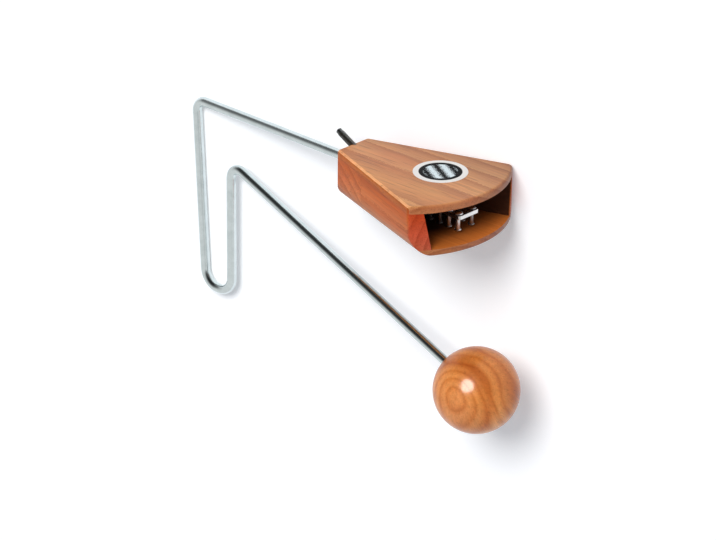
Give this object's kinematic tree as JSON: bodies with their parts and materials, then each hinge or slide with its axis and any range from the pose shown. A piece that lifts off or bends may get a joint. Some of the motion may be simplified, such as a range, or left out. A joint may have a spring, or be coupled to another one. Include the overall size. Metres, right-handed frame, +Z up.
{
  "type": "vibraslap",
  "caption": "Fan-shaped wooden rattle box and striker ball joined by one bent steel rod with a hand grip; loose pins in a sprung plate buzz in the box mouth.",
  "frame": {"origin": "middle of the underside of the bounding box, on the floor the instrument lies on", "axes": "+X along the box towards its mouth, laid level; +Y square to the top board; +Z up from the floor"},
  "size_m": [0.275, 0.1692, 0.0919],
  "materials": {
    "board": "clear gloss varnish",
    "wall": "clear gloss varnish",
    "block": "clear varnish",
    "ball": "clear gloss varnish",
    "rod": "bright plating",
    "strip": "rolled spring steel",
    "pin": "bright steel",
    "screw": "dark steel"
  },
  "bodies": {
    "box_and_rod": {"top_board": "board", "bottom_board": "board", "left_wall": "wall", "right_wall": "wall", "end_block": "block", "rod": "rod", "ball": "ball", "clamp_screw": "screw", "plate_screw_1": "screw", "plate_screw_2": "screw"},
    "rattle_plate": {"rattle_plate": "strip"},
    "rattle_pin_1": {"rattle_pin_1": "pin"},
    "rattle_pin_2": {"rattle_pin_2": "pin"},
    "rattle_pin_3": {"rattle_pin_3": "pin"},
    "rattle_pin_4": {"rattle_pin_4": "pin"},
    "rattle_pin_5": {"rattle_pin_5": "pin"},
    "rattle_pin_6": {"rattle_pin_6": "pin"},
    "rattle_pin_7": {"rattle_pin_7": "pin"},
    "rattle_pin_8": {"rattle_pin_8": "pin"},
    "rattle_pin_9": {"rattle_pin_9": "pin"},
    "rattle_pin_10": {"rattle_pin_10": "pin"},
    "rattle_pin_11": {"rattle_pin_11": "pin"},
    "rattle_pin_12": {"rattle_pin_12": "pin"},
    "rattle_pin_13": {"rattle_pin_13": "pin"},
    "rattle_pin_14": {"rattle_pin_14": "pin"}
  },
  "joints": [
    {"name": "plate_flex", "type": "hinge", "parent": "box_and_rod", "child": "rattle_plate", "pos_m": [0.04603, 0.0601, 0.03709], "axis": [-0.1845, -0.0105, 0.9828], "range_deg": [-1, 1], "stiffness_Nm_per_rad": 5},
    {"name": "pin_slide_1", "type": "slide", "parent": "rattle_plate", "child": "rattle_pin_1", "axis": [-0.0019, 0.9999, 0.0104], "range_m": [0, 0.0068]},
    {"name": "pin_slide_2", "type": "slide", "parent": "rattle_plate", "child": "rattle_pin_2", "axis": [-0.0019, 0.9999, 0.0104], "range_m": [0, 0.0068]},
    {"name": "pin_slide_3", "type": "slide", "parent": "rattle_plate", "child": "rattle_pin_3", "axis": [-0.0019, 0.9999, 0.0104], "range_m": [0, 0.0068]},
    {"name": "pin_slide_4", "type": "slide", "parent": "rattle_plate", "child": "rattle_pin_4", "axis": [-0.0019, 0.9999, 0.0104], "range_m": [0, 0.0068]},
    {"name": "pin_slide_5", "type": "slide", "parent": "rattle_plate", "child": "rattle_pin_5", "axis": [-0.0019, 0.9999, 0.0104], "range_m": [0, 0.0068]},
    {"name": "pin_slide_6", "type": "slide", "parent": "rattle_plate", "child": "rattle_pin_6", "axis": [-0.0019, 0.9999, 0.0104], "range_m": [0, 0.0068]},
    {"name": "pin_slide_7", "type": "slide", "parent": "rattle_plate", "child": "rattle_pin_7", "axis": [-0.0019, 0.9999, 0.0104], "range_m": [0, 0.0068]},
    {"name": "pin_slide_8", "type": "slide", "parent": "rattle_plate", "child": "rattle_pin_8", "axis": [-0.0019, 0.9999, 0.0104], "range_m": [0, 0.0068]},
    {"name": "pin_slide_9", "type": "slide", "parent": "rattle_plate", "child": "rattle_pin_9", "axis": [-0.0019, 0.9999, 0.0104], "range_m": [0, 0.0068]},
    {"name": "pin_slide_10", "type": "slide", "parent": "rattle_plate", "child": "rattle_pin_10", "axis": [-0.0019, 0.9999, 0.0104], "range_m": [0, 0.0068]},
    {"name": "pin_slide_11", "type": "slide", "parent": "rattle_plate", "child": "rattle_pin_11", "axis": [-0.0019, 0.9999, 0.0104], "range_m": [0, 0.0068]},
    {"name": "pin_slide_12", "type": "slide", "parent": "rattle_plate", "child": "rattle_pin_12", "axis": [-0.0019, 0.9999, 0.0104], "range_m": [0, 0.0068]},
    {"name": "pin_slide_13", "type": "slide", "parent": "rattle_plate", "child": "rattle_pin_13", "axis": [-0.0019, 0.9999, 0.0104], "range_m": [0, 0.0068]},
    {"name": "pin_slide_14", "type": "slide", "parent": "rattle_plate", "child": "rattle_pin_14", "axis": [-0.0019, 0.9999, 0.0104], "range_m": [0, 0.0068]}
  ]
}
